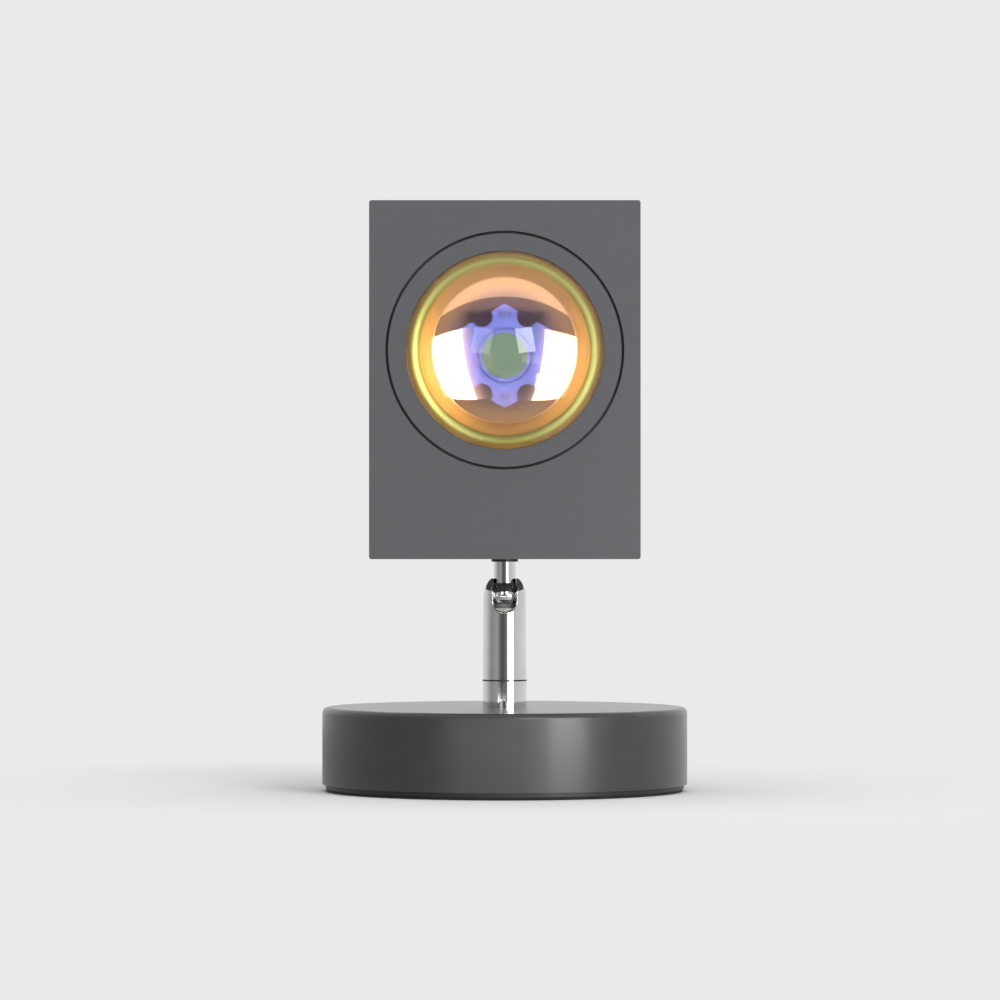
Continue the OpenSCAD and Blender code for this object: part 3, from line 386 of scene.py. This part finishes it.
def coating_film():
    """Interference coating on the lens's flat back: it throws warm light back like a gold mirror and lets
    the blue through. Towards the edge, where light meets it at a slant, it turns orange, then olive with a
    pale yellow ring that is a painted highlight, laid over the rounded shoulder that also catches real light,
    then gold and brown, and its mirror is softer."""
    mat, tree, out, place = new_finish("dichroic_coating")
    centred = add(tree, "ShaderNodeVectorMath", {0: place, 1: (0, 0, LENS_Z*MM)},
                  operation="SUBTRACT").outputs[0]
    flat = add(tree, "ShaderNodeVectorMath", {0: centred, 1: (1, 0, 1)}, operation="MULTIPLY").outputs[0]
    radius = add(tree, "ShaderNodeVectorMath", {0: flat}, operation="LENGTH").outputs["Value"]
    zone = add(tree, "ShaderNodeMapRange", {"Value": radius, "From Min": 0, "From Max": DOME_R*MM}).outputs[0]
    tones = add(tree, "ShaderNodeValToRGB", {0: zone})
    blend = 0.65  # the zones change over this width, in millimetres, as the stops' radii are
    # The pale yellow stop at 28.59 mm is a painted highlight: a ring of light painted on the shoulder.
    set_stops(tones.color_ramp.elements, 0, DOME_R, [
        (0, srgb("#ffc8b8")), (11.46, srgb("#ffc2b0")), (16.38, srgb("#ffc09a")),
        (FILM_MIRROR_R, srgb("#ffbf86")), (FILM_MIRROR_R + blend, srgb("#cc8a44")),
        (FILM_ORANGE_R, srgb("#d3963c")), (FILM_ORANGE_R + blend, srgb("#a9a050")),
        (28.59, srgb("#d8d27c")), (29.61, srgb("#c9ac54")), (30.69, srgb("#ffbe70")),
        (31.64, srgb("#b07a48")), (DOME_R, srgb("#b07a48"))])
    # The middle lets half of the light through, and the rest of the mirror a tenth.
    thick = add(tree, "ShaderNodeMapRange", {"Value": radius, "From Min": 15.4*MM, "From Max": 20.3*MM,
                                             "To Min": 0.5, "To Max": 0.9},
                interpolation_type="SMOOTHSTEP").outputs[0]
    soft = add(tree, "ShaderNodeMapRange", {"Value": radius, "From Min": (FILM_MIRROR_R - 0.1)*MM,
                                            "From Max": (FILM_MIRROR_R + 0.3)*MM,
                                            "To Min": 0.02, "To Max": 0.34}).outputs[0]
    mirror = add(tree, "ShaderNodeBsdfPrincipled", {"Base Color": tones.outputs[0], "Metallic": 1.0,
                                                    "Roughness": soft})
    clear = add(tree, "ShaderNodeBsdfTransparent", {"Color": (0.45, 0.56, 1.0, 1)})
    mix = add(tree, "ShaderNodeMixShader", {0: thick, 1: clear.outputs[0], 2: mirror.outputs[0]})
    tree.links.new(mix.outputs[0], out.inputs[0])
    return mat


# ---- finishes on the CAD nodes ----

for sub in frame["record"]["subparts"]:
    finish = FINISH.get(sub["material_slot"])
    if finish:
        for material_slot in frame["nodes"][sub["node"]].material_slots:
            material_slot.material = finish


# ---- the lens and its coating ----

def lens_profile():
    """Half section of the lens: a sphere cap of radius R = (a^2 + h^2)/2h over the flange and a flat back."""
    cap = (DOME_R**2 + DOME_RISE**2)/(2*DOME_RISE)
    r = np.sin(np.linspace(0, math.asin((DOME_R - DOME_EDGE)/cap), 150))*cap
    dome = np.column_stack([r, np.sqrt(cap**2 - r**2) - (cap - DOME_RISE)])
    rim = softened([dome[-1], (DOME_R, -DOME_DROP), (DOME_R, -LIP_DEPTH), (FLANGE_R, -LIP_DEPTH),
                    (FLANGE_R, -FLANGE_BACK), (0.0, -FLANGE_BACK)], LENS_ROUND, shut=False)
    return np.vstack([dome, rim[1:]])


def film_profile():
    """Half section of the coated back: flat to the mirror's edge, a shallow dish z = -d s^2 to the orange
    zone's edge, then a shoulder that falls away on an arc of radius FILM_ROUND."""
    s = np.linspace(0, 1, 12)
    dish = np.column_stack([FILM_MIRROR_R + (FILM_ORANGE_R - FILM_MIRROR_R)*s, -FILM_DISH*s**2])
    a = np.linspace(0.02, math.asin((FILM_EDGE_R - FILM_ORANGE_R)/FILM_ROUND), 40)
    shoulder = np.column_stack([FILM_ORANGE_R + FILM_ROUND*np.sin(a),
                                -FILM_DISH - FILM_ROUND*(1 - np.cos(a))])
    front = np.vstack([[(0, 0), (FILM_LEVEL_R, 0)], dish, shoulder])
    front[:, 1] -= FLANGE_BACK + FILM_GAP
    return np.vstack([front, front[::-1] - (0, FILM_T)])


verts, faces = spun(lens_profile(), sides=224)
piece("dome_lens", lens_placed(verts), faces, dome_glass(), "head", ["lens"])

verts, faces = spun(film_profile(), sides=160)
piece("coating_film", lens_placed(verts), faces, coating_film(), "head")


# ---- the socket's notch: its edge is rounded and polished ----

def notch_edge():
    """The U of the notch on the socket's skin: down one side, round a half circle and up the other, with y on
    the cone below the ball's centre and on the sphere above it."""
    half = NOTCH_W/2 + EDGE_OUT
    turn = np.linspace(np.pi/2, -np.pi/2, 48)
    leg = np.linspace(EDGE_TOP_Z, NOTCH_Z, 30)[:-1]
    x = np.concatenate([np.full(leg.size, half), half*np.sin(turn), np.full(leg.size, -half)])
    z = np.concatenate([leg, NOTCH_Z - half*np.cos(turn), leg[::-1]])
    taper = (SOCKET_FOOT_R - SOCKET_TOP_R)/(PIVOT_Z - SOCKET_FOOT_Z)
    skin_r = np.where(z < PIVOT_Z, SOCKET_TOP_R + taper*(PIVOT_Z - z),
                      np.sqrt(np.clip(SOCKET_TOP_R**2 - (z - PIVOT_Z)**2, 0, None)))
    y = -np.sqrt(np.clip((skin_r - EDGE_IN)**2 - x**2, 0, None))
    return np.column_stack([x, y, z])


verts, faces = swept(notch_edge(), EDGE_R)
piece("notch_edge", verts, faces, FINISH["chrome_plate"], "post")


# ---- the LED: tinned pads on its board, and a dam round its phosphor ----

def lobe_pads(n=14):
    """Tinned pads with rounded corners, one a lobe, on flat undersides. Over a grid (u, v) on [-1, 1] a pad's
    height is PAD_RISE (1 - u^8)(1 - v^8), and its outline is squared in: x is w/2 u (1 - 0.08 v^6) and z is
    l/2 v (1 - 0.08 u^6). Each is then turned by its lobe's angle."""
    lobes = np.radians([90, 30, -30, -90, -150, 150])[:, None, None]
    u, v = np.meshgrid(np.linspace(-1, 1, n), np.linspace(-1, 1, n), indexing="ij")
    x, z = PAD_W/2*u*(1 - 0.08*v**6), PAD_L/2*v*(1 - 0.08*u**6)
    h = PAD_RISE*(1 - u**8)*(1 - v**8)
    c, s = np.cos(lobes), np.sin(lobes)
    upper = np.stack(np.broadcast_arrays(c*(PAD_AT_R + x) - s*z, s*(PAD_AT_R + x) + c*z, h - BOARD_FACE), -1)
    lower = upper*(1, 1, 0) - (0, 0, BOARD_FACE)
    verts = np.stack([upper, lower], 1).reshape(-1, 3)
    k = np.arange(n*n).reshape(n, n)
    top = grid_quads(k.T)
    border = np.concatenate([k[:-1, 0], k[-1, :-1], k[:0:-1, -1], k[0, :0:-1]])
    wall = np.stack([border, border + n*n, np.roll(border, -1) + n*n, np.roll(border, -1)], -1)
    one = np.vstack([top, top[:, ::-1] + n*n, wall])
    every = one + 2*n*n*np.arange(len(lobes))[:, None, None]
    return verts, facing_out(verts, every.reshape(-1, 4))


verts, faces = lobe_pads()
piece("board_pads", lens_placed(verts), faces, FINISH["tinned_copper"], "head")

dam_top = DAM_RISE - BOARD_FACE
dam = softened([(DAM_IN_R, -BOARD_FACE), (DAM_IN_R, dam_top), (DAM_OUT_R, dam_top), (DAM_OUT_R, -BOARD_FACE)],
               DAM_ROUND, steps=6)
verts, faces = spun(dam, sides=96, closed=True)
piece("emitter_dam", lens_placed(verts), faces, FINISH["silicone_dam"], "head")

# ---- camera, fitted to the photograph; from here on, places are in metres ----

CAMERA_AT = np.array([-1.6, -1611.0, 87.2])*MM
CAMERA_TO = np.array([-1.6, 0.0, 98.0])*MM
LENS_AT = (0, FRONT_Y*MM, LENS_Z*MM)

scene = bpy.context.scene
scene.view_settings.view_transform = "Standard"
camera = bpy.data.objects.new("camera", bpy.data.cameras.new("camera"))
scene.collection.objects.link(camera)
scene.camera = camera
camera.data.sensor_width = 36.0
camera.data.lens = 171.9
camera.data.clip_end = 200
aim = CAMERA_TO - CAMERA_AT
camera.location = CAMERA_AT
camera.rotation_euler = (math.pi/2 + math.atan2(aim[2], aim[1]), 0, 0)

# ---- table and studio ----

BACKDROP = srgb("#eaeaea")
SHADE_FROM, SHADE_TO = 0.08, 0.26        # the table's shading ends between these distances from the lamp
GLOSS_FROM, GLOSS_TO = 0.50, 0.60        # and the table that gloss sees, between these
TABLE_EDGE = 0.54                        # the bright table that the lens sees ends this far in front
TABLE_BOW = 0.56                         # and further off to the sides
DARK = (0.10, 0.10, 0.10, 1)             # the dark end of the room, round the camera


def grey(level):
    """A grey of a linear level."""
    return (level, level, level, 1)


def table_plain(tree, place, away):
    """The table that the camera and matt surfaces see: shaded near the lamp and plain pale further off."""
    speck = add(tree, "ShaderNodeTexNoise", {"Vector": place, "Scale": 60.0}).outputs["Fac"]
    white = add(tree, "ShaderNodeMix", {"Factor": speck, "A": grey(0.80), "B": grey(0.82)},
                data_type="RGBA").outputs["Result"]
    shaded = add(tree, "ShaderNodeBsdfDiffuse", {"Color": white})
    plain = add(tree, "ShaderNodeEmission", {"Color": BACKDROP})
    far = add(tree, "ShaderNodeMapRange", {"Value": away, "From Min": SHADE_FROM, "From Max": SHADE_TO},
              interpolation_type="SMOOTHSTEP").outputs[0]
    return add(tree, "ShaderNodeMixShader", {0: far, 1: shaded.outputs[0], 2: plain.outputs[0]}).outputs[0]


def table_in_gloss(tree, x, away):
    """The table that gloss sees: darker to the left of the lamp, and gone from half a metre on."""
    reach = 0.15
    share = add(tree, "ShaderNodeMapRange", {"Value": x, "From Min": -reach, "From Max": reach}).outputs[0]
    shade = add(tree, "ShaderNodeValToRGB", {0: share})
    set_stops(shade.color_ramp.elements, -reach, reach,
              [(-reach, grey(0.3)), (-0.05, grey(0.5)), (0.05, grey(0.72)), (reach, grey(0.75))])
    close = add(tree, "ShaderNodeEmission", {"Color": shade.outputs[0]})
    gone = add(tree, "ShaderNodeBsdfTransparent")
    edge = add(tree, "ShaderNodeMapRange", {"Value": away, "From Min": GLOSS_FROM,
                                            "From Max": GLOSS_TO}).outputs[0]
    return add(tree, "ShaderNodeMixShader", {0: edge, 1: close.outputs[0], 2: gone.outputs[0]}).outputs[0]


def table_in_lens(tree, ahead, side):
    """The table that the lens sees: bright, up to a front edge that bows away to the sides, and then the dark
    room, which is lighter to the sides and close behind the edge."""
    slope = add(tree, "ShaderNodeMath", {0: side, 1: ahead}, operation="DIVIDE").outputs[0]
    squared = add(tree, "ShaderNodeMath", {0: slope, 1: slope}, operation="MULTIPLY").outputs[0]
    bowed = add(tree, "ShaderNodeMath", {0: squared, 1: -TABLE_BOW, 2: ahead},
                operation="MULTIPLY_ADD").outputs[0]
    past = add(tree, "ShaderNodeMapRange", {"Value": bowed, "From Min": TABLE_EDGE - 0.005,
                                            "From Max": TABLE_EDGE + 0.005}).outputs[0]
    beside = add(tree, "ShaderNodeMapRange", {"Value": slope, "From Min": 0.19, "From Max": 0.31}).outputs[0]
    behind = add(tree, "ShaderNodeMapRange", {"Value": ahead, "From Min": 0.85, "From Max": 0.7}).outputs[0]
    lit = add(tree, "ShaderNodeMath", {0: beside, 1: behind}, operation="MAXIMUM").outputs[0]
    room = add(tree, "ShaderNodeMix", {"Factor": lit, "A": DARK, "B": (0.45, 0.44, 0.45, 1)},
               data_type="RGBA").outputs["Result"]
    tone = add(tree, "ShaderNodeMix", {"Factor": past, "A": (1.32, 1.3, 1.28, 1), "B": room},
               data_type="RGBA").outputs["Result"]
    return add(tree, "ShaderNodeEmission", {"Color": tone}).outputs[0]


def table_finish():
    """Seamless white table, as each kind of ray sees it. The lens sees its own only ahead, in a wedge that
    starts in front of the base."""
    mat, tree, out, place = new_finish("white_table")
    path = add(tree, "ShaderNodeLightPath").outputs
    parts = add(tree, "ShaderNodeSeparateXYZ", {0: place}).outputs
    away = add(tree, "ShaderNodeVectorMath", {0: place}, operation="LENGTH").outputs["Value"]
    near = add(tree, "ShaderNodeMixShader", {0: path["Is Glossy Ray"], 1: table_plain(tree, place, away),
                                             2: table_in_gloss(tree, parts["X"], away)})

    ahead = add(tree, "ShaderNodeMath", {0: parts["Y"], 1: -1.0}, operation="MULTIPLY").outputs[0]
    side = add(tree, "ShaderNodeMath", {0: parts["X"]}, operation="ABSOLUTE").outputs[0]
    reach = add(tree, "ShaderNodeMath", {0: ahead, 1: 0.75}, operation="MULTIPLY").outputs[0]
    narrow = add(tree, "ShaderNodeMath", {0: side, 1: reach}, operation="LESS_THAN").outputs[0]
    front = add(tree, "ShaderNodeMath", {0: ahead, 1: 0.12}, operation="GREATER_THAN").outputs[0]
    wedge = add(tree, "ShaderNodeMath", {0: narrow, 1: front}, operation="MULTIPLY").outputs[0]
    through = add(tree, "ShaderNodeMath", {0: wedge, 1: path["Is Transmission Ray"]},
                  operation="MULTIPLY").outputs[0]
    shown = add(tree, "ShaderNodeMixShader", {0: through, 1: near.outputs[0],
                                              2: table_in_lens(tree, ahead, side)})
    tree.links.new(shown.outputs[0], out.inputs[0])
    return mat


def table_grid(across=24000.0, n=25):
    """A flat grid of squares at z = 0."""
    line = np.linspace(-across/2, across/2, n)
    x, y = np.meshgrid(line, line)
    verts = np.column_stack([x.ravel(), y.ravel(), np.zeros(x.size)])
    return verts, grid_quads(np.arange(n*n).reshape(n, n)).tolist()


verts, faces = table_grid()
table = mesh_object("table", verts, faces, table_finish())


def studio_world():
    """Pale backdrop to the camera and even light to matt surfaces. Gloss sees the studio's levels by compass
    bearing, darkest just left of the camera, under a pale ceiling. Glass sees them by height: dark behind the
    camera, dim above and pale overhead and to the sides."""
    world = bpy.data.worlds.new("studio")
    scene.world = world
    world.use_nodes = True
    tree = world.node_tree
    tree.nodes.clear()
    out = add(tree, "ShaderNodeOutputWorld")
    path = add(tree, "ShaderNodeLightPath").outputs
    way = add(tree, "ShaderNodeTexCoord").outputs["Generated"]
    x, y, z = add(tree, "ShaderNodeSeparateXYZ", {0: way}).outputs
    forward = add(tree, "ShaderNodeMath", {0: y, 1: -1.0}, operation="MULTIPLY").outputs[0]
    azimuth = add(tree, "ShaderNodeMath", {0: x, 1: forward}, operation="ARCTAN2").outputs[0]
    bearing = add(tree, "ShaderNodeMath", {0: azimuth}, operation="DEGREES").outputs[0]
    sideways = add(tree, "ShaderNodeMath", {0: bearing}, operation="ABSOLUTE").outputs[0]
    rise = add(tree, "ShaderNodeMath", {0: z}, operation="ARCSINE").outputs[0]
    height = add(tree, "ShaderNodeMath", {0: rise}, operation="DEGREES").outputs[0]

    # Gloss: levels by bearing, in degrees, with the camera at 0 and the right positive.
    round_about = add(tree, "ShaderNodeMapRange", {"Value": bearing, "From Min": -180, "From Max": 180})
    walls = add(tree, "ShaderNodeValToRGB", {0: round_about.outputs[0]})
    set_stops(walls.color_ramp.elements, -180, 180, [(at, grey(level)) for at, level in (
        (-180, 0.97), (-145, 0.88), (-119, 0.84), (-101, 0.66), (-85, 0.44), (-72, 0.34), (-58, 0.38),
        (-46, 0.45), (-36, 0.40), (-25, 0.19), (-15, 0.10), (-4, 0.13), (10, 0.25), (38, 0.8), (50, 0.71),
        (62, 0.78), (120, 0.93), (180, 1.0))])
    overhead = add(tree, "ShaderNodeMapRange", {"Value": height, "From Min": 32, "From Max": 48}).outputs[0]
    gloss = add(tree, "ShaderNodeMix", {"Factor": overhead, "A": walls.outputs[0], "B": grey(0.85)},
                data_type="RGBA").outputs["Result"]

    # Glass: levels by height, in degrees, with the dark end of the room low round the camera.
    upright = add(tree, "ShaderNodeMapRange", {"Value": height, "From Min": -30, "From Max": 90})
    wall = add(tree, "ShaderNodeValToRGB", {0: upright.outputs[0]})
    set_stops(wall.color_ramp.elements, -30, 90, [(at, grey(level)) for at, level in (
        (-30, 0.45), (8, 0.45), (26, 0.40), (40, 0.48), (52, 0.8), (90, 0.9))])
    above = add(tree, "ShaderNodeMapRange", {"Value": height, "From Min": 11, "From Max": 20}).outputs[0]
    beside = add(tree, "ShaderNodeMapRange", {"Value": sideways, "From Min": 11, "From Max": 17}).outputs[0]
    lit = add(tree, "ShaderNodeMath", {0: above, 1: beside}, operation="MAXIMUM").outputs[0]
    ahead = add(tree, "ShaderNodeMix", {"Factor": lit, "A": DARK, "B": wall.outputs[0]},
                data_type="RGBA").outputs["Result"]
    flanks = add(tree, "ShaderNodeMapRange", {"Value": sideways, "From Min": 34, "From Max": 44}).outputs[0]
    glass = add(tree, "ShaderNodeMix", {"Factor": flanks, "A": ahead, "B": grey(0.9)},
                data_type="RGBA").outputs["Result"]

    colour = (0.5, 0.5, 0.505, 1)
    for kind, tone in (("Is Glossy Ray", gloss), ("Is Transmission Ray", glass), ("Is Camera Ray", BACKDROP)):
        colour = add(tree, "ShaderNodeMix", {"Factor": path[kind], "A": colour, "B": tone},
                     data_type="RGBA").outputs["Result"]
    light = add(tree, "ShaderNodeBackground", {"Color": colour})
    tree.links.new(light.outputs[0], out.inputs[0])


studio_world()


# ---- lamps: places and sizes in metres, power in watts ----

def softbox(name, at, to, width, height, power, ray, roll=0.0, shift=0.0):
    """A rectangular lamp that faces a point and that one kind of ray meets. roll turns it about its own axis,
    in degrees, and shift moves it along its own width."""
    lamp = bpy.data.lights.new(name, "AREA")
    lamp.shape = "RECTANGLE"
    lamp.size, lamp.size_y = width, height
    lamp.energy = power
    obj = bpy.data.objects.new(name, lamp)
    scene.collection.objects.link(obj)
    facing = (Vector(to) - Vector(at)).to_track_quat("-Z", "Y").to_matrix()
    turned = facing @ Matrix.Rotation(math.radians(roll), 3, "Z")
    obj.location = Vector(at) + turned @ Vector((shift, 0, 0))
    obj.rotation_euler = turned.to_euler()
    obj.visible_camera = False
    obj.visible_diffuse = ray == "diffuse"
    obj.visible_glossy = ray == "glossy"
    obj.visible_transmission = ray == "transmission"
    return obj


# The two softboxes where gloss shows them, and a strip that the chrome mirrors on its right.
softbox("softbox_right", (0.286, -1.0, 0.306), LENS_AT, 0.24, 0.35, 2.4, "glossy", roll=8)
softbox("softbox_left", (-0.32, -1.0, 0.30), LENS_AT, 0.28, 0.36, 0.8, "glossy", roll=-8)
softbox("strip_right", (0.47, -1.0, 0.03), (0, 0, 0.05), 0.46, 0.12, 0.28, "glossy")
# A low card that faces down at a slant, so that the base mirrors it and the lens doesn't, and one beside it.
softbox("card_front", (-0.08, -0.30, 0.012), (-0.08, -0.258, -0.079), 0.24, 0.035, 0.16, "glossy")
softbox("card_right", (0.165, -0.235, 0.035), (0, 0, 0.02), 0.11, 0.06, 0.25, "glossy")

# The same two softboxes where the lens shows them. The inner edge of each one's diffuser fades out in strips,
# each dimmer than the last; a lamp that glows at a level has a power of pi times the level times its area.
BOX_W, BOX_H = 0.35, 0.50
FADE_STRIPS = 5
for side, x, roll, power, glow, strip_w in (("right", 0.40, 8, 4.2, 1.2, 0.022),
                                            ("left", -0.385, -6, 2.2, 0.6, 0.014)):
    at, inward = (x, -1.0, 0.315), -math.copysign(1, x)
    softbox(f"glass_{side}", at, LENS_AT, BOX_W, BOX_H, power, "transmission", roll=roll)
    for i in range(FADE_STRIPS):
        level = glow*(1 - i/FADE_STRIPS)**2
        softbox(f"glow_{side}_{i}", at, LENS_AT, strip_w, BOX_H, math.pi*level*strip_w*BOX_H, "transmission",
                roll=roll, shift=inward*(BOX_W/2 + strip_w*(i + 0.5)))

# Light for the matt surfaces, from the front on the right and from above.
softbox("key", (0.9, -1.4, 1.0), (0, 0, 0.1), 0.8, 0.8, 14.0, "diffuse")
softbox("softbox_top", (0.0, 0.0, 1.5), (0, 0, 0), 1.3, 1.3, 9.0, "diffuse")

# The light that a real lens lets in, which the renderer's lamps can't send through glass.
LAMP_DEPTH = 8.0  # behind the front face, in millimetres
inside = softbox("light_through_lens", (0, (FRONT_Y + LAMP_DEPTH)*MM, LENS_Z*MM), (0, 0, LENS_Z*MM),
                 0.03, 0.03, 0.036, "diffuse")
inside.parent = frame["bodies"]["head"]
